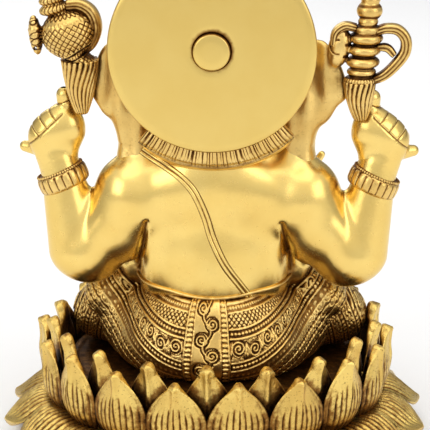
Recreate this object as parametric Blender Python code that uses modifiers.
"""Seated four-armed elephant-headed idol in cast brass on a double lotus base.

The idol is modelled as the workshop makes it: separate castings that are fitted to each
other and fastened. It faces -Y, its left hand side is +X, and it stands on z = 0.
All sizes below are in millimetres; MM turns them into metres where shapes are made.
"""

import math

import bmesh
import bpy
from mathutils import Matrix, Vector

MM = 0.001
GAP = 0.3  # clearance between neighbouring castings

# Lotus base
SHELL_RADIUS = 77.5
SHELL_TOP = 36.0
SHELL_WALL = 3.0
SHELL_FLARE = 12.5  # how far the shell's foot spreads past its upper part
FLARE_HEIGHT = 9.0
FOOT_WIDTH = 11.0
FOOT_HEIGHT = 5.0
FOOT_SPREAD = 5.0  # how far the foot ring stands out past the shell's foot
FOOT_EDGE = 2.0
SEAT_WALL = 7.7
SEAT_INSET = 0.5  # how far the seat's edge stands back from the shell
SEAT_EDGE = 1.0
SEAT_TOP = SHELL_TOP + GAP + SEAT_WALL
PETAL_COUNT = 18
PETAL_WALL = 2.4
PETAL_ROOT = 0.5  # between the shell and the petals' inner faces, past the clearance
ROW_SPACE = 1.6  # between the two upper rows
RING_STEPS = 36

# Seat bolt, which holds the figure down on the lotus
BOLT_RADIUS = 3.0
BOLT_HEAD_RADIUS = 6.0
BOLT_HEAD_HEIGHT = 4.0
BOLT_REACH = 16.0  # into the figure
BOLT_PLAY = 0.3
WASHER_RADIUS = 8.0
WASHER_HEIGHT = 1.2

# Halo disc behind the crown
HALO_RADIUS = 51.5
HALO_WALL = 4.0
HALO_EDGE = 0.9
HALO_FRONT_Y = 32.0
HALO_HEIGHT = 170.2  # of its centre above the seat
RIVET_HEAD_RADIUS = 9.4
RIVET_HEAD_HEIGHT = 2.2
RIVET_HEAD_EDGE = 0.8
RIVET_RADIUS = 4.0
RIVET_REACH = 24.0
RIVET_END_PLAY = 1.0
SPACER_RADIUS = 8.0
SPACER_SINK = 14.0  # how far in from the crown's outside the spacer starts

# Ornament bands: how far they stand out, and how wide they are
BANGLE_RISE = 2.6
BANGLE_WIDTH = 9.0
FRONT_BANGLE_RISE = 1.8
FRONT_BANGLE_WIDTH = 6.0
ANKLET_RISE = 2.0
ANKLET_WIDTH = 6.0
BELT_RISE = 2.2
BELT_WIDTH = 6.0
THREAD_RISE = 1.2
THREAD_WIDTH = 3.2

# Body landmarks: x outwards, y backwards, h above the seat
SHOULDER = (41.0, 15.0, 90.0)
ELBOW = (64.0, 14.0, 60.0)
WRIST = (79.0, 12.0, 107.0)
FRONT_SHOULDER = (34.0, -4.0, 90.0)
FRONT_ELBOW = (50.0, -26.0, 60.0)
LEFT_KNEE = (61.0, -16.0, 17.5)
RIGHT_KNEE = (-64.5, -15.0, 18.5)
RIGHT_SPREAD = 4.0  # the right arm and ear are held this much further out
SPREAD_FROM = 24.0  # where that starts, and where it is reached in full
SPREAD_TO = 44.0
BANGLE_SHARE = 0.84  # place of the bangle between elbow and wrist
ARM_RADIUS = 16.0
FOREARM_RADIUS = 15.0
WRIST_RADIUS = 9.6
FRONT_ARM_RADIUS = 10.5
FRONT_WRIST_RADIUS = 7.2
KNEE_RADIUS = 15.5
TUSK_RADIUS = 2.9
LEFT_TUSK = 9.0  # the broken one
RIGHT_TUSK = 17.0
EAR_WALL = 6.4
CROWN_RADIUS = 27.0
CROWN_SINK = 6.0  # how far the crown reaches down over the head
CROWN_HEIGHT = 50.0
CROWN_BASE_H = 161.0
FINIAL_HEIGHT = 11.0
HEAD_Y = -5.0
HELD_Y = 20.0  # of the things held in the rear hands
LEFT_ANKLE = (27.0, -55.0, 9.5)
LEFT_TOE = (-9.0, -66.0, 8.2)
RIGHT_ANKLE = (-30.0, -47.0, 9.0)
RIGHT_TOE = (1.0, -48.0, 8.0)
LEFT_WRIST = (40.0, -50.0, 58.0)
RIGHT_WRIST = (-45.0, -50.0, 80.0)
BOWL_RADIUS = 10.0
BOWL_HEIGHT = 8.0
BOWL_WALL = 1.6
BOWL_FLOOR = 2.4
BOWL_LIFT = 3.0  # of its foot above the wrist
BOWL_FORWARD = -18.0  # from the wrist
FRINGE_DROP = 2.2
FRINGE_Y = 30.0
FRINGE_HALF_ANGLE = 48
LOCK_ANGLE = 4
BELT_H = 44.0
PANEL_WIDTH = 20.0
PANEL_LOW = 4.0
PANEL_RISE = 1.8
THREAD_H = 77.0
THREAD_NORMAL = (0.76, 0.0, -0.65)

BRASS = ("polished_brass", (0.86, 0.60, 0.20), 0.24)
ANTIQUE = ("antique_brass", (0.55, 0.34, 0.10), 0.38)
STEEL = ("bolt_steel", (0.45, 0.45, 0.46), 0.35)


def at(x, y, h):
    """A point of the figure, in millimetres. Its height is measured from the seat."""
    return Vector((x, y, h))


def mirrored(point, side):
    """The same place on the left (side 1) or the right (side -1)."""
    return (point[0] * side, point[1], point[2])


def posed(point, side):
    """A place on the rear arm or the ear, which stand further out on the right."""
    x, y, h = point
    if side < 0:
        share = (x - SPREAD_FROM) / (SPREAD_TO - SPREAD_FROM)
        x += RIGHT_SPREAD * min(1.0, max(0.0, share))
    return (x * side, y, h)


# ---------------------------------------------------------------- scene, materials


def clear_scene():
    for obj in list(bpy.data.objects):
        bpy.data.objects.remove(obj)


def collection(name, inside=None):
    made = bpy.data.collections.new(name)
    (inside or bpy.context.scene.collection).children.link(made)
    return made


def stand_on_seat(*groups):
    """Lifts what is modelled from h = 0, and its cutters, onto the seat."""
    seat = bpy.data.objects.new("seat_height", None)
    seat.location = (0.0, 0.0, SEAT_TOP * MM)
    groups[0].objects.link(seat)
    for group in groups:
        for obj in group.objects:
            if obj is not seat:
                obj.parent = seat


def metal(finish):
    name, colour, roughness = finish
    made = bpy.data.materials.get(name)
    if made:
        return made
    made = bpy.data.materials.new(name)
    made.use_nodes = True
    shader = made.node_tree.nodes["Principled BSDF"]
    shader.inputs["Base Color"].default_value = (*colour, 1.0)
    shader.inputs["Metallic"].default_value = 1.0
    shader.inputs["Roughness"].default_value = roughness
    return made


def add_object(name, bm, finish, group):
    mesh = bpy.data.meshes.new(name)
    bm.to_mesh(mesh)
    bm.free()
    mesh.shade_smooth()
    obj = bpy.data.objects.new(name, mesh)
    obj.data.materials.append(metal(finish))
    group.objects.link(obj)
    return obj


def hide(obj):
    obj.hide_render = True
    obj.display_type = "WIRE"
    return obj


# ---------------------------------------------------------------- soft cast forms


def add_ball(bm, centre, radii, tilt=0.0, yaw=0.0):
    """An ellipsoid, leaning by tilt degrees about Y and turned by yaw degrees about Z."""
    place = Matrix.Translation(Vector(centre) * MM)
    lean = Matrix.Rotation(math.radians(yaw), 4, "Z")
    lean @= Matrix.Rotation(math.radians(tilt), 4, "Y")
    size = Matrix.Diagonal((*(r * MM for r in radii), 1.0))
    bmesh.ops.create_uvsphere(
        bm, u_segments=20, v_segments=12, radius=1.0, matrix=place @ lean @ size
    )


def add_limb(bm, start, end, start_radius, end_radius):
    """A tapered rod with round ends."""
    start, end = Vector(start), Vector(end)
    along = end - start
    turn = along.to_track_quat("Z", "Y").to_matrix().to_4x4()
    place = Matrix.Translation((start + end) / 2 * MM) @ turn
    bmesh.ops.create_cone(
        bm,
        cap_ends=True,
        segments=20,
        radius1=start_radius * MM,
        radius2=end_radius * MM,
        depth=along.length * MM,
        matrix=place,
    )
    add_ball(bm, start, (start_radius,) * 3)
    add_ball(bm, end, (end_radius,) * 3)


def evaluated_faces(obj):
    graph = bpy.context.evaluated_depsgraph_get()
    return len(obj.evaluated_get(graph).data.polygons)


def cast_form(name, balls, limbs, finish, group, detail=2.2, faces=250, soften=5):
    """Balls and limbs melted into one closed casting of about this many triangles."""
    bm = bmesh.new()
    for one in balls:
        add_ball(bm, *one)
    for one in limbs:
        add_limb(bm, *one)
    obj = add_object(name, bm, finish, group)
    melt = obj.modifiers.new("melt", "REMESH")
    melt.mode = "VOXEL"
    melt.voxel_size = detail * MM
    melt.use_smooth_shade = True
    smooth = obj.modifiers.new("soften", "SMOOTH")
    smooth.iterations = soften
    smooth.factor = 0.5
    share = faces / (2 * evaluated_faces(obj))
    thin = obj.modifiers.new("thin_out", "DECIMATE")
    thin.ratio = min(1.0, share)
    return obj


# ---------------------------------------------------------------- turned and flat forms


def turned(name, profile, finish, group, axis_at=(0.0, 0.0), steps=48, to_axis=False):
    """A solid of revolution about Z from a (radius, z) outline in millimetres.

    The outline closes on itself, or with to_axis starts and ends on the axis.
    """
    following = profile[1:] + profile[:1]
    area = sum(a[0] * b[1] - b[0] * a[1] for a, b in zip(profile, following))
    if area > 0:  # the outer side has to run down
        profile = profile[::-1]
    bm = bmesh.new()
    verts = [bm.verts.new((r * MM, 0.0, z * MM)) for r, z in profile]
    pairs = list(zip(verts, verts[1:] + verts[:1]))
    for pair in pairs[:-1] if to_axis else pairs:
        bm.edges.new(pair)
    obj = add_object(name, bm, finish, group)
    screw = obj.modifiers.new("turn", "SCREW")
    screw.steps = steps
    screw.render_steps = steps
    screw.use_merge_vertices = True
    screw.merge_threshold = 0.00001
    obj.location = (axis_at[0] * MM, axis_at[1] * MM, 0.0)
    return obj


def rod(name, centre, radius, length, direction, finish, group, segments=32):
    """A cylinder whose middle is at centre and whose axis is direction."""
    bm = bmesh.new()
    turn = Vector(direction).to_track_quat("Z", "Y").to_matrix().to_4x4()
    bmesh.ops.create_cone(
        bm,
        cap_ends=True,
        segments=segments,
        radius1=radius * MM,
        radius2=radius * MM,
        depth=length * MM,
        matrix=Matrix.Translation(Vector(centre) * MM) @ turn,
    )
    return add_object(name, bm, finish, group)


def block(name, centre, size, normal, finish, group):
    """A box whose third side lies along normal."""
    bm = bmesh.new()
    turn = Vector((0, 0, 1)).rotation_difference(Vector(normal)).to_matrix().to_4x4()
    scale = Matrix.Diagonal((*(s * MM for s in size), 1.0))
    place = Matrix.Translation(Vector(centre) * MM)
    bmesh.ops.create_cube(bm, size=1.0, matrix=place @ turn @ scale)
    return add_object(name, bm, finish, group)


# ---------------------------------------------------------------- fitting pieces together


def twin(obj, name, swell, cutters):
    """A helper of the same shape, swollen by this many millimetres and left out of the build."""
    made = obj.copy()
    made.name = name
    cutters.objects.link(made)
    for modifier in list(made.modifiers):
        if modifier.type == "BOOLEAN":
            made.modifiers.remove(modifier)
    grow = made.modifiers.new("swell", "DISPLACE")
    grow.mid_level = 0.0
    grow.strength = swell * MM
    return hide(made)


def combine(obj, other, operation):
    step = obj.modifiers.new(operation.lower() + "_" + other.name, "BOOLEAN")
    step.operation = operation
    step.object = other
    step.solver = "EXACT"
    return obj


def fit(piece, *neighbours, cutters):
    """Cuts the piece back from each neighbour, leaving the clearance between them."""
    for neighbour in neighbours:
        name = neighbour.name + "_clearance"
        helper = bpy.data.objects.get(name) or twin(neighbour, name, GAP, cutters)
        combine(piece, helper, "DIFFERENCE")
    return piece


def cut_off_below(piece, height, cutters):
    """A flat underside at this height."""
    side, depth = 400.0, 80.0
    centre = (0.0, 0.0, height - depth / 2)
    name = piece.name + "_flat"
    slab = block(name, centre, (side, side, depth), (0, 0, 1), BRASS, cutters)
    return combine(piece, hide(slab), "DIFFERENCE")


def band(name, around, centre, normal, size, rise, finish, group, cutters):
    """A strip that follows the form it lies on: that form swollen by rise, inside a box."""
    strip = around.copy()
    strip.name = name
    strip.data = around.data.copy()
    strip.data.materials.clear()
    strip.data.materials.append(metal(finish))
    group.objects.link(strip)
    for modifier in list(strip.modifiers):
        if modifier.type == "BOOLEAN":
            strip.modifiers.remove(modifier)
    grow = strip.modifiers.new("rise", "DISPLACE")
    grow.mid_level = 0.0
    grow.strength = rise * MM
    box = block(name + "_slice", centre, size, normal, finish, cutters)
    combine(strip, hide(box), "INTERSECT")
    return fit(strip, around, cutters=cutters)


# ---------------------------------------------------------------- lotus base


def bezier(points, t):
    """A point on the quadratic curve through three control points."""
    a, b, c = points
    return tuple(
        (1 - t) ** 2 * p + 2 * t * (1 - t) * q + t * t * r for p, q, r in zip(a, b, c)
    )


def petal_row(name, spine, notch, bulge, phase, finish, group, rows=2, columns=4):
    """A closed ring of petals: spine is the (radius, z) curve up a petal's middle.

    notch is the share of the petal's height where neighbours part, and bulge is how far
    each petal's middle swells outwards.
    """
    bm = bmesh.new()
    steps = PETAL_COUNT * columns
    line = [bm.verts.new((1.0, 0.0, row / rows)) for row in range(rows + 1)]
    edges = [bm.edges.new(pair) for pair in zip(line, line[1:])]
    bmesh.ops.spin(
        bm,
        geom=line + edges,
        cent=(0, 0, 0),
        axis=(0, 0, 1),
        angle=math.tau,
        steps=steps,
        use_merge=True,
    )
    for vert in bm.verts:
        angle = math.atan2(vert.co.y, vert.co.x)
        turns = angle / math.tau * PETAL_COUNT + phase
        across = 2 * abs(turns - round(turns))
        share = vert.co.z * (1 - (1 - notch) * across**1.5)
        radius, z = bezier(spine, share)
        radius += bulge * (1 - across**2) * math.sin(math.pi * min(1.0, share + 0.15))
        vert.co = Vector((radius * math.cos(angle), radius * math.sin(angle), z)) * MM
    bmesh.ops.recalc_face_normals(bm, faces=bm.faces)
    obj = add_object(name, bm, finish, group)
    wall = obj.modifiers.new("wall", "SOLIDIFY")
    wall.thickness = PETAL_WALL * MM
    wall.offset = -1.0
    return obj


def build_base(group):
    flare = SHELL_RADIUS + SHELL_FLARE
    foot_outer = flare + FOOT_SPREAD
    foot_inner = foot_outer - FOOT_WIDTH
    turned(
        "foot_ring",
        [
            (foot_inner, 0.0),
            (foot_outer - FOOT_EDGE, 0.0),
            (foot_outer, FOOT_HEIGHT / 2),
            (foot_outer - FOOT_EDGE, FOOT_HEIGHT),
            (foot_inner, FOOT_HEIGHT),
        ],
        ANTIQUE,
        group,
        steps=RING_STEPS,
    )
    bottom = FOOT_HEIGHT + GAP
    shoulder = bottom + FLARE_HEIGHT
    turned(
        "base_shell",
        [
            (flare, bottom),
            (SHELL_RADIUS, shoulder),
            (SHELL_RADIUS, SHELL_TOP),
            (SHELL_RADIUS - SHELL_WALL, SHELL_TOP),
            (SHELL_RADIUS - SHELL_WALL, shoulder),
            (flare - SHELL_WALL * 1.3, bottom),
        ],
        ANTIQUE,
        group,
        steps=RING_STEPS,
    )
    under_seat = SHELL_TOP + GAP
    bore = BOLT_RADIUS + BOLT_PLAY
    seat_radius = SHELL_RADIUS - SEAT_INSET
    turned(
        "seat_disc",
        [
            (bore, SEAT_TOP),
            (seat_radius - SEAT_EDGE, SEAT_TOP),
            (seat_radius, SEAT_TOP - SEAT_EDGE),
            (seat_radius, under_seat),
            (bore, under_seat),
        ],
        ANTIQUE,
        group,
        steps=RING_STEPS,
    )
    root = SHELL_RADIUS + GAP + PETAL_WALL + PETAL_ROOT
    outer_root = root + PETAL_WALL + ROW_SPACE
    rows = (
        (
            "inner_petals",
            ((root, SHELL_TOP - 5.5), (root + 2.5, SHELL_TOP + 14.0), (root + 6.0, SHELL_TOP + 31.0)),
            0.55,
            1.2,
            0.5,
        ),
        (
            "outer_petals",
            (
                (outer_root, SHELL_TOP - 9.0),
                (outer_root + 5.5, SHELL_TOP + 8.0),
                (outer_root + 7.5, SHELL_TOP + 26.5),
            ),
            0.55,
            2.6,
            0.0,
        ),
        (
            "lower_petals",
            ((root, SHELL_TOP - 12.5), (root + 18.0, SHELL_TOP - 13.0), (root + 31.5, 11.0)),
            0.6,
            0.8,
            0.5,
        ),
        (
            "lower_petals_under",
            ((root, SHELL_TOP - 19.5), (root + 15.0, SHELL_TOP - 20.5), (root + 27.0, 4.5)),
            0.6,
            0.8,
            0.0,
        ),
    )
    for name, spine, notch, bulge, phase in rows:
        petal_row(name, spine, notch, bulge, phase, ANTIQUE, group)


def build_seat_bolt(group, cutters):
    """The bolt that comes up through the seat into the figure, and its washer under the seat."""
    up = (0, 0, 1)
    bore = BOLT_RADIUS + BOLT_PLAY
    washer_low = SHELL_TOP - WASHER_HEIGHT
    turned(
        "seat_washer",
        [
            (WASHER_RADIUS, washer_low),
            (WASHER_RADIUS, SHELL_TOP),
            (bore, SHELL_TOP),
            (bore, washer_low),
        ],
        STEEL,
        group,
        steps=24,
    )
    shank_top = SEAT_TOP + BOLT_REACH
    head_top = washer_low - GAP
    shank_low = head_top - BOLT_HEAD_HEIGHT / 2
    middle = (0, 0, (shank_top + shank_low) / 2)
    bolt = rod("seat_bolt", middle, BOLT_RADIUS, shank_top - shank_low, up, STEEL, group, 24)
    head_middle = (0, 0, head_top - BOLT_HEAD_HEIGHT / 2)
    head = rod(
        "seat_bolt_head", head_middle, BOLT_HEAD_RADIUS, BOLT_HEAD_HEIGHT, up, STEEL, cutters, 6
    )
    combine(bolt, hide(head), "UNION")


# ---------------------------------------------------------------- trunk of the body


def build_torso(group):
    return cast_form(
        "torso",
        [
            (at(0, 6, 92), (38, 26, 24)),
            (at(0, 7, 108), (27, 20, 16)),
            (at(0, 4, 62), (37, 30, 32)),
            (at(0, 1, 49), (38.5, 33, 20)),
            (at(0, -20, 56), (36, 36, 32)),
        ],
        [
            (at(14, 11, 96), at(*SHOULDER), 17, 15.5),
            (at(-14, 11, 96), at(*posed(SHOULDER, -1)), 17, 15.5),
            (at(12, 0, 96), at(*FRONT_SHOULDER), 14, 12),
            (at(-12, 0, 96), at(*mirrored(FRONT_SHOULDER, -1)), 14, 12),
        ],
        BRASS,
        group,
        faces=560,
    )


def build_hips(torso, group, cutters):
    hips = cast_form(
        "hips_dhoti",
        [
            (at(0, 4, 13), (52, 43, 23)),
            (at(0, 4, 28), (43, 36, 17)),
        ],
        [
            (at(28, 2, 16), at(42, -4, 17), 20, 19),
            (at(-28, 2, 16), at(-42, -4, 17), 20, 19),
        ],
        ANTIQUE,
        group,
        faces=370,
    )
    fit(hips, torso, cutters=cutters)
    cut_off_below(hips, GAP, cutters)
    hole_top = BOLT_REACH + GAP
    hole_middle = at(0, 0, (hole_top - GAP) / 2)
    bore = BOLT_RADIUS + BOLT_PLAY
    up = (0, 0, 1)
    hole = rod("bolt_hole", hole_middle, bore, hole_top + GAP, up, STEEL, cutters, 24)
    return combine(hips, hide(hole), "DIFFERENCE")


def build_leg(side, name, knee, ankle, hips, torso, group, cutters):
    """Thigh and shin of a crossed leg, in the garment."""
    leg = cast_form(
        "leg_" + name,
        [],
        [
            (at(38 * side, -6, 17), at(*knee), 18, KNEE_RADIUS),
            (at(knee[0], knee[1] - 3, 15.0), at(*ankle), KNEE_RADIUS - 2, 9.0),
        ],
        ANTIQUE,
        group,
        faces=260,
    )
    fit(leg, hips, torso, cutters=cutters)
    return cut_off_below(leg, GAP, cutters)


def build_foot(name, ankle, toe, leg, group, cutters):
    heel = Vector(ankle)
    tip = Vector(toe)
    spread = Vector((0, 0, 1)).cross(tip - heel).normalized()
    foot = cast_form(
        "foot_" + name,
        [(at(*heel.lerp(tip, 0.55)), (13, 7, 6.5))],
        [
            (at(*ankle), at(*heel.lerp(tip, 0.5)), 7.5, 6.5),
            *(
                (
                    at(*(heel.lerp(tip, 0.6) + spread * 2.9 * n)),
                    at(*(tip + spread * 3.3 * n - (tip - heel) * 0.05 * abs(n - 1))),
                    3.2,
                    2.4,
                )
                for n in (-2, -1, 0, 1, 2)
            ),
        ],
        BRASS,
        group,
        detail=1.6,
        faces=200,
        soften=3,
    )
    fit(foot, leg, cutters=cutters)
    return cut_off_below(foot, GAP, cutters)


def build_anklet(name, knee, ankle, leg, neighbours, group, cutters):
    """A ring round the end of the shin."""
    end = at(*ankle)
    shin = end - at(*knee)
    anklet = band(
        "anklet_" + name,
        leg,
        end - shin.normalized() * 4.0,
        shin,
        (34.0, 34.0, ANKLET_WIDTH),
        ANKLET_RISE,
        ANTIQUE,
        group,
        cutters,
    )
    fit(anklet, *neighbours, cutters=cutters)
    return cut_off_below(anklet, GAP, cutters)


# ---------------------------------------------------------------- arms and hands


def build_rear_arm(side, name, torso, group, cutters):
    shoulder, elbow, wrist = (at(*posed(p, side)) for p in (SHOULDER, ELBOW, WRIST))
    upper = cast_form(
        "rear_upper_arm_" + name,
        [],
        [(shoulder.lerp(elbow, 0.1), elbow, ARM_RADIUS + 0.6, ARM_RADIUS)],
        BRASS,
        group,
        faces=190,
    )
    fit(upper, torso, cutters=cutters)
    low = elbow + Vector((6.0 * side, 0, 2))
    forearm = cast_form(
        "rear_forearm_" + name,
        [],
        [(low, wrist, FOREARM_RADIUS, WRIST_RADIUS)],
        BRASS,
        group,
        faces=190,
    )
    fit(forearm, upper, cutters=cutters)
    band(
        "rear_bangle_" + name,
        forearm,
        low.lerp(wrist, BANGLE_SHARE),
        wrist - low,
        (60.0, 60.0, BANGLE_WIDTH),
        BANGLE_RISE,
        ANTIQUE,
        group,
        cutters,
    )
    return upper, forearm


def build_rear_hand(side, name, forearm, group, cutters):
    wrist = at(*posed(WRIST, side))

    def spot(x, y, z):
        return wrist + Vector((x * side, y, z))

    fingers = [
        (spot(13 - 4.6 * n, -2, 14.5 + 5.4 * n), spot(12.5 - 4.6 * n, -12, 16 + 5.4 * n), 3.4, 3.0)
        for n in range(4)
    ]
    hand = cast_form(
        "rear_hand_" + name,
        [(spot(0, 0, 16), (12.5, 7.5, 15), 14 * side)],
        [
            (spot(0, 0, 2), spot(0, 0, 10), 8.6, 9.0),
            (spot(-5, 1, 20), spot(-4, 0, 31), 7.0, 4.4),
            (spot(10, -1, 9), spot(18, -4, 7), 4.0, 2.8),
            *fingers,
        ],
        BRASS,
        group,
        detail=1.6,
        faces=260,
        soften=3,
    )
    return fit(hand, forearm, cutters=cutters)


def build_front_arm(side, name, wrist_point, torso, rear_upper, group, cutters):
    elbow = at(*mirrored(FRONT_ELBOW, side))
    shoulder = at(*mirrored(FRONT_SHOULDER, side)).lerp(elbow, 0.25)
    wrist = at(*wrist_point)
    upper = cast_form(
        "front_upper_arm_" + name,
        [],
        [(shoulder, elbow, 12.0, FRONT_ARM_RADIUS)],
        BRASS,
        group,
        faces=150,
    )
    fit(upper, torso, rear_upper, cutters=cutters)
    forearm = cast_form(
        "front_forearm_" + name,
        [],
        [(elbow, wrist, FRONT_ARM_RADIUS - 0.7, FRONT_WRIST_RADIUS)],
        BRASS,
        group,
        faces=150,
    )
    fit(forearm, upper, torso, cutters=cutters)
    band(
        "front_bangle_" + name,
        forearm,
        elbow.lerp(wrist, 0.85),
        wrist - elbow,
        (40.0, 40.0, FRONT_BANGLE_WIDTH),
        FRONT_BANGLE_RISE,
        ANTIQUE,
        group,
        cutters,
    )
    armlet = band(
        "armlet_" + name,
        upper,
        shoulder.lerp(elbow, 0.5),
        elbow - shoulder,
        (60.0, 60.0, FRONT_BANGLE_WIDTH),
        FRONT_BANGLE_RISE,
        ANTIQUE,
        group,
        cutters,
    )
    fit(armlet, torso, rear_upper, cutters=cutters)
    return upper, forearm


def build_front_hand_open(wrist_point, forearm, group, cutters):
    """The right front hand, raised with its palm forward."""
    wrist = at(*wrist_point)

    def spot(x, y, z):
        return wrist + Vector((x, y, z))

    fingers = [
        (spot(3.1 * n, -1, 15), spot(3.6 * n, -2, 30 - 1.6 * abs(n - 0.3)), 2.3, 1.7)
        for n in (-1.5, -0.5, 0.5, 1.5)
    ]
    hand = cast_form(
        "front_hand_right",
        [(spot(0, 0, 10), (7.2, 3.6, 8.5))],
        [
            (spot(0, 0.5, 0), spot(0, 0, 7), 5.6, 5.2),
            (spot(-5, -1, 7), spot(-10.5, -3, 15), 2.5, 1.9),
            *fingers,
        ],
        BRASS,
        group,
        detail=1.3,
        faces=260,
        soften=2,
    )
    return fit(hand, forearm, cutters=cutters)


def build_front_hand_cupped(wrist_point, forearm, group, cutters):
    """The left front hand, palm up under the sweet bowl."""
    wrist = at(*wrist_point)

    def spot(x, y, z):
        return wrist + Vector((x, y, z))

    fingers = [
        (spot(3.2 * n, -20, 0.5), spot(4.2 * n, -30 + abs(n), 5.0), 2.4, 1.9)
        for n in (-1.5, -0.5, 0.5, 1.5)
    ]
    hand = cast_form(
        "front_hand_left",
        [(spot(0, -14, -0.6), (8.0, 12.0, 3.4))],
        [
            (spot(0, 1, 0), spot(0, -7, -0.5), 5.8, 4.6),
            (spot(-5, -10, 0), spot(-12.5, -15, 5.0), 2.5, 2.0),
            *fingers,
        ],
        BRASS,
        group,
        detail=1.3,
        faces=260,
        soften=2,
    )
    return fit(hand, forearm, cutters=cutters)


def build_sweet_bowl(wrist_point, hand, group, cutters):
    """A footed bowl on the left palm, with one big sweet in it."""
    x, y, h = wrist_point
    middle = (x, y + BOWL_FORWARD)
    low = h + BOWL_LIFT
    top = low + BOWL_HEIGHT
    floor_radius = BOWL_RADIUS - BOWL_WALL * 2
    bowl = turned(
        "sweet_bowl",
        [
            (0.0, low),
            (5.0, low),
            (BOWL_RADIUS - 1.5, low + 3.5),
            (BOWL_RADIUS, top),
            (BOWL_RADIUS - BOWL_WALL, top),
            (floor_radius, low + BOWL_FLOOR * 2),
            (0.0, low + BOWL_FLOOR),
        ],
        ANTIQUE,
        group,
        axis_at=middle,
        steps=24,
        to_axis=True,
    )
    fit(bowl, hand, cutters=cutters)
    sweet_low = low + BOWL_FLOOR + GAP
    radius = floor_radius - GAP * 2
    turned(
        "sweet",
        [
            (0.0, sweet_low),
            (radius * 0.45, sweet_low + 0.7),
            (radius, sweet_low + 3.6),
            (radius * 0.98, sweet_low + 6.0),
            (radius * 0.6, sweet_low + 9.5),
            (radius * 0.2, sweet_low + 11.4),
            (0.0, sweet_low + 12.6),
        ],
        BRASS,
        group,
        axis_at=middle,
        steps=20,
        to_axis=True,
    )


# ---------------------------------------------------------------- head


def build_head(torso, group, cutters):
    head = cast_form(
        "head",
        [
            (at(0, HEAD_Y, 144), (27, 25, 24)),
            (at(9.5, HEAD_Y - 14, 151), (13, 12, 13)),
            (at(-9.5, HEAD_Y - 14, 151), (13, 12, 13)),
            (at(14, HEAD_Y - 15, 134), (11, 12, 12)),
            (at(-14, HEAD_Y - 15, 134), (11, 12, 12)),
            (at(0, HEAD_Y - 24, 135), (13, 12, 14)),
            (at(0, HEAD_Y - 2, 124), (19, 18, 13)),
        ],
        [],
        BRASS,
        group,
        faces=430,
    )
    return fit(head, torso, cutters=cutters)


def build_trunk(head, torso, group, cutters):
    """The trunk hangs over the belly and turns to the sweet in the left hand."""
    path = [
        (0, HEAD_Y - 28, 134),
        (0, HEAD_Y - 43, 121),
        (1, HEAD_Y - 51, 105),
        (6, HEAD_Y - 56, 91),
        (15, HEAD_Y - 59, 83),
        (26, HEAD_Y - 60, 84),
        (33, HEAD_Y - 60, 90),
    ]
    radii = [12.5, 11.0, 9.4, 8.0, 6.8, 5.8, 4.6]
    limbs = [
        (at(*path[i]), at(*path[i + 1]), radii[i], radii[i + 1]) for i in range(len(path) - 1)
    ]
    trunk = cast_form("trunk", [], limbs, BRASS, group, detail=1.8, faces=320)
    return fit(trunk, head, torso, cutters=cutters)


def build_ear(side, name, head, torso, group, cutters):
    root, flap, lobe = (
        at(*posed(place, side)) for place in ((31, 3, 146), (45, 9, 150), (42, 9, 130))
    )
    ear = cast_form(
        "ear_" + name,
        [
            (root, (13, EAR_WALL * 0.8, 23), 0, 18 * side),
            (flap, (17.5, EAR_WALL * 0.7, 22), 0, 22 * side),
            (lobe, (15, EAR_WALL * 0.7, 15), 0, 22 * side),
        ],
        [],
        BRASS,
        group,
        detail=1.9,
        faces=220,
        soften=4,
    )
    return fit(ear, head, torso, cutters=cutters)


def build_tusk(side, name, length, head, trunk, group, cutters):
    root = at(11.5 * side, HEAD_Y - 22, 127)
    way = Vector((0.2 * side, -1.0, -0.12)).normalized()
    tusk = cast_form(
        "tusk_" + name,
        [],
        [(root, root + way * length, TUSK_RADIUS, TUSK_RADIUS * 0.55)],
        BRASS,
        group,
        detail=1.0,
        faces=70,
        soften=2,
    )
    return fit(tusk, head, trunk, cutters=cutters)


def build_crown(head, group, cutters):
    low = CROWN_BASE_H
    top = low + CROWN_HEIGHT
    r = CROWN_RADIUS
    crown = turned(
        "crown",
        [
            (0.0, low - CROWN_SINK),
            (r - 1.5, low - CROWN_SINK),
            (r, low - 3.0),
            (r, low + 3.0),
            (r - 3.0, low + 6.0),
            (r - 2.0, low + 12.0),
            (r - 6.5, low + 20.0),
            (r - 6.0, low + 25.0),
            (r - 11.5, low + 33.0),
            (r - 11.0, low + 37.0),
            (r - 17.0, low + 46.0),
            (r - 20.0, top),
            (0.0, top),
        ],
        ANTIQUE,
        group,
        axis_at=(0.0, HEAD_Y),
        steps=24,
        to_axis=True,
    )
    fit(crown, head, cutters=cutters)
    base = top + GAP
    turned(
        "crown_finial",
        [
            (0.0, base),
            (4.0, base),
            (6.2, base + 3.0),
            (4.6, base + 6.2),
            (1.6, base + 8.6),
            (0.0, base + FINIAL_HEIGHT),
        ],
        ANTIQUE,
        group,
        axis_at=(0.0, HEAD_Y),
        steps=16,
        to_axis=True,
    )
    return crown


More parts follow.
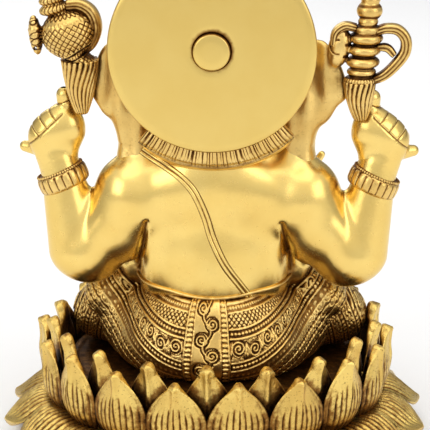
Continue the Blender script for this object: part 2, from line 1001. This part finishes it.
def build_halo(crown, head, group, cutters):
    """The disc, the rivet through its middle and the spacer that holds it off the crown."""
    z = HALO_HEIGHT
    back_y = HALO_FRONT_Y + HALO_WALL
    y_axis = (0, 1, 0)
    centre = (0, (HALO_FRONT_Y + back_y) / 2, z)
    disc = rod("halo_disc", centre, HALO_RADIUS, HALO_WALL, y_axis, BRASS, group, 48)
    edge = disc.modifiers.new("edge", "BEVEL")
    edge.width = HALO_EDGE * MM
    edge.segments = 1
    edge.limit_method = "ANGLE"

    head_low = back_y + GAP
    head_back = head_low + RIVET_HEAD_HEIGHT / 2
    shank_end = head_low - RIVET_REACH
    shank_middle = (0, (shank_end + head_back) / 2, z)
    shank = head_back - shank_end
    rivet = rod("halo_rivet", shank_middle, RIVET_RADIUS, shank, y_axis, BRASS, group, 20)
    head_middle = (0, head_back, z)
    button = rod(
        "rivet_head", head_middle, RIVET_HEAD_RADIUS, RIVET_HEAD_HEIGHT, y_axis, BRASS, cutters, 28
    )
    round_off = button.modifiers.new("edge", "BEVEL")
    round_off.width = RIVET_HEAD_EDGE * MM
    round_off.segments = 1
    round_off.limit_method = "ANGLE"
    combine(rivet, hide(button), "UNION")

    bore_start = shank_end - RIVET_END_PLAY
    bore_stop = back_y + GAP
    bore_middle = (0, (bore_start + bore_stop) / 2, z)
    bore_radius = RIVET_RADIUS + GAP
    bore_length = bore_stop - bore_start
    bore = rod("rivet_bore", bore_middle, bore_radius, bore_length, y_axis, BRASS, cutters, 20)
    hide(bore)
    spacer_end = HALO_FRONT_Y - GAP
    spacer_start = HEAD_Y + CROWN_RADIUS - SPACER_SINK
    spacer_middle = (0, (spacer_end + spacer_start) / 2, z)
    spacer = rod(
        "halo_spacer",
        spacer_middle,
        SPACER_RADIUS,
        spacer_end - spacer_start,
        y_axis,
        BRASS,
        group,
        24,
    )
    fit(spacer, crown, head, cutters=cutters)
    for piece in (disc, spacer, crown):
        combine(piece, bore, "DIFFERENCE")
    return disc


def build_hair_fringe(disc, neighbours, group, cutters):
    """The row of locks that shows under the halo disc."""
    reach = HALO_RADIUS + FRINGE_DROP
    locks = []
    for degrees in range(-FRINGE_HALF_ANGLE, FRINGE_HALF_ANGLE + 1, LOCK_ANGLE):
        turn = math.radians(degrees)
        x, h = reach * math.sin(turn), HALO_HEIGHT - reach * math.cos(turn)
        locks.append((at(x, FRINGE_Y, h), (4.6, 4.4, 4.9)))
    fringe = cast_form(
        "hair_fringe", locks, [], ANTIQUE, group, detail=1.8, faces=260, soften=2
    )
    return fit(fringe, disc, *neighbours, cutters=cutters)


# ---------------------------------------------------------------- things in the rear hands


def chain(points, radius):
    """Rods end to end through these points."""
    return [(at(*a), at(*b), radius, radius) for a, b in zip(points, points[1:])]


def build_lotus_bud(hand, ear, group, cutters):
    """The bud in the left rear hand: a pleated stem wrap, and the tied bud above it."""
    y = HELD_Y
    stem = cast_form(
        "bud_stem_wrap",
        [],
        [(at(65.8, y - 1, 138), at(67.5, y, 161), 4.4, 9.2)],
        ANTIQUE,
        group,
        detail=1.6,
        faces=150,
        soften=2,
    )
    bud = cast_form(
        "lotus_bud",
        [
            (at(68.6, y, 164.5), (10.8, 10.0, 3.0), 16),
            (at(72.2, y, 176), (14.2, 12.5, 13.6), 16),
            (at(77.2, y, 191), (8.4, 8.0, 5.0), 16),
        ],
        [
            (at(78, y, 193), at(81.5, y, 206), 5.2, 1.6),
            *chain([(82, y, 161.5), (88.5, y, 166), (89, y, 175), (85, y, 183)], 2.9),
            *chain([(61, y, 168), (58.2, y, 176), (60.5, y, 185), (68, y, 190)], 3.6),
        ],
        ANTIQUE,
        group,
        detail=1.6,
        faces=380,
        soften=2,
    )
    fit(hand, stem, cutters=cutters)
    fit(bud, stem, cutters=cutters)
    fit(ear, stem, bud, hand, cutters=cutters)


def build_goad(hand, ear, group, cutters):
    """The goad in the right rear hand, with ribbon loops on both sides of its shaft."""
    y = HELD_Y
    stem = cast_form(
        "goad_stem_wrap",
        [],
        [(at(-73.6, y - 1, 136), at(-72.8, y, 154), 4.2, 8.2)],
        ANTIQUE,
        group,
        detail=1.6,
        faces=150,
        soften=2,
    )
    goad = cast_form(
        "goad",
        [
            (at(-73.0, y, 157.0), (9.4, 9.0, 2.6)),
            (at(-73.6, y, 163.0), (8.6, 8.2, 3.4)),
            (at(-74.4, y, 169.5), (8.6, 8.2, 3.4)),
            (at(-75.2, y, 176.0), (8.4, 8.0, 3.6)),
            (at(-77.8, y, 190.0), (6.4, 6.4, 4.6)),
        ],
        [
            (at(-73, y, 157), at(-76, y, 179), 7.0, 6.2),
            (at(-76, y, 179), at(-78, y, 194), 5.4, 3.8),
            (at(-78, y, 194), at(-79.5, y, 208), 5.0, 1.4),
            *chain([(-82, y, 177), (-88, y, 180), (-94, y, 177), (-95, y, 169)], 3.4),
            *chain([(-95, y, 169), (-89, y, 161), (-82, y, 155), (-78, y, 152)], 3.4),
            *chain([(-69, y, 176), (-63, y, 177), (-60, y, 170), (-65, y, 160)], 4.0),
        ],
        ANTIQUE,
        group,
        detail=1.6,
        faces=470,
        soften=2,
    )
    fit(hand, stem, cutters=cutters)
    fit(goad, stem, cutters=cutters)
    fit(ear, stem, goad, hand, cutters=cutters)


# ---------------------------------------------------------------- ornaments on the body


def build_ornaments(torso, hips, neighbours, group, cutters):
    belt = band(
        "waist_belt",
        torso,
        at(0, 0, BELT_H),
        (0, 0, 1),
        (120.0, 120.0, BELT_WIDTH),
        BELT_RISE,
        ANTIQUE,
        group,
        cutters,
    )
    fit(belt, hips, *neighbours, cutters=cutters)
    panel_top = BELT_H - BELT_WIDTH / 2 - GAP
    panel = band(
        "back_panel",
        hips,
        at(0, 45, (panel_top + PANEL_LOW) / 2),
        (0, 0, 1),
        (PANEL_WIDTH, 60.0, panel_top - PANEL_LOW),
        PANEL_RISE,
        ANTIQUE,
        group,
        cutters,
    )
    fit(panel, torso, belt, cutters=cutters)
    thread = band(
        "sacred_thread",
        torso,
        at(0, 0, THREAD_H),
        THREAD_NORMAL,
        (220.0, 220.0, THREAD_WIDTH),
        THREAD_RISE,
        BRASS,
        group,
        cutters,
    )
    fit(thread, hips, *neighbours, cutters=cutters)
    cut_off_below(thread, BELT_H + BELT_WIDTH / 2 + GAP, cutters)


# ---------------------------------------------------------------- the whole figure


def main():
    clear_scene()
    idol = collection("lotus_idol")
    base = collection("lotus", idol)
    build_base(base)
    build_seat_bolt(base, collection("lotus_cutters"))

    parts = collection("figure", idol)
    cutters = collection("figure_cutters")
    torso = build_torso(parts)
    hips = build_hips(torso, parts, cutters)

    left_leg = build_leg(1, "left", LEFT_KNEE, LEFT_ANKLE, hips, torso, parts, cutters)
    right_leg = build_leg(-1, "right", RIGHT_KNEE, RIGHT_ANKLE, hips, torso, parts, cutters)
    left_foot = build_foot("left", LEFT_ANKLE, LEFT_TOE, left_leg, parts, cutters)
    right_foot = build_foot("right", RIGHT_ANKLE, RIGHT_TOE, right_leg, parts, cutters)
    fit(right_leg, left_leg, left_foot, cutters=cutters)
    fit(right_foot, left_leg, left_foot, hips, torso, cutters=cutters)
    fit(left_foot, torso, cutters=cutters)
    beside = (left_foot, right_leg, right_foot)
    build_anklet("left", LEFT_KNEE, LEFT_ANKLE, left_leg, beside, parts, cutters)
    beside = (right_foot, left_leg, left_foot)
    build_anklet("right", RIGHT_KNEE, RIGHT_ANKLE, right_leg, beside, parts, cutters)

    rear, hands = {}, {}
    for side, name in ((1, "left"), (-1, "right")):
        rear[name], forearm = build_rear_arm(side, name, torso, parts, cutters)
        hands[name] = build_rear_hand(side, name, forearm, parts, cutters)
    arms = (torso, rear["left"])
    front_left, low_left = build_front_arm(1, "left", LEFT_WRIST, *arms, parts, cutters)
    arms = (torso, rear["right"])
    front_right, low_right = build_front_arm(-1, "right", RIGHT_WRIST, *arms, parts, cutters)
    cupped = build_front_hand_cupped(LEFT_WRIST, low_left, parts, cutters)
    build_front_hand_open(RIGHT_WRIST, low_right, parts, cutters)
    build_sweet_bowl(LEFT_WRIST, cupped, parts, cutters)

    head = build_head(torso, parts, cutters)
    trunk = build_trunk(head, torso, parts, cutters)
    build_tusk(1, "left", LEFT_TUSK, head, trunk, parts, cutters)
    build_tusk(-1, "right", RIGHT_TUSK, head, trunk, parts, cutters)
    left_ear = build_ear(1, "left", head, torso, parts, cutters)
    right_ear = build_ear(-1, "right", head, torso, parts, cutters)
    crown = build_crown(head, parts, cutters)
    disc = build_halo(crown, head, parts, cutters)
    fit(left_ear, crown, disc, cutters=cutters)
    fit(right_ear, crown, disc, cutters=cutters)
    build_lotus_bud(hands["left"], left_ear, parts, cutters)
    build_goad(hands["right"], right_ear, parts, cutters)
    fringe_neighbours = (torso, head, left_ear, right_ear)
    build_hair_fringe(disc, fringe_neighbours, parts, cutters)
    around_torso = (rear["left"], rear["right"], front_left, front_right)
    build_ornaments(torso, hips, around_torso, parts, cutters)
    stand_on_seat(parts, cutters)


if __name__ == "__main__":
    main()
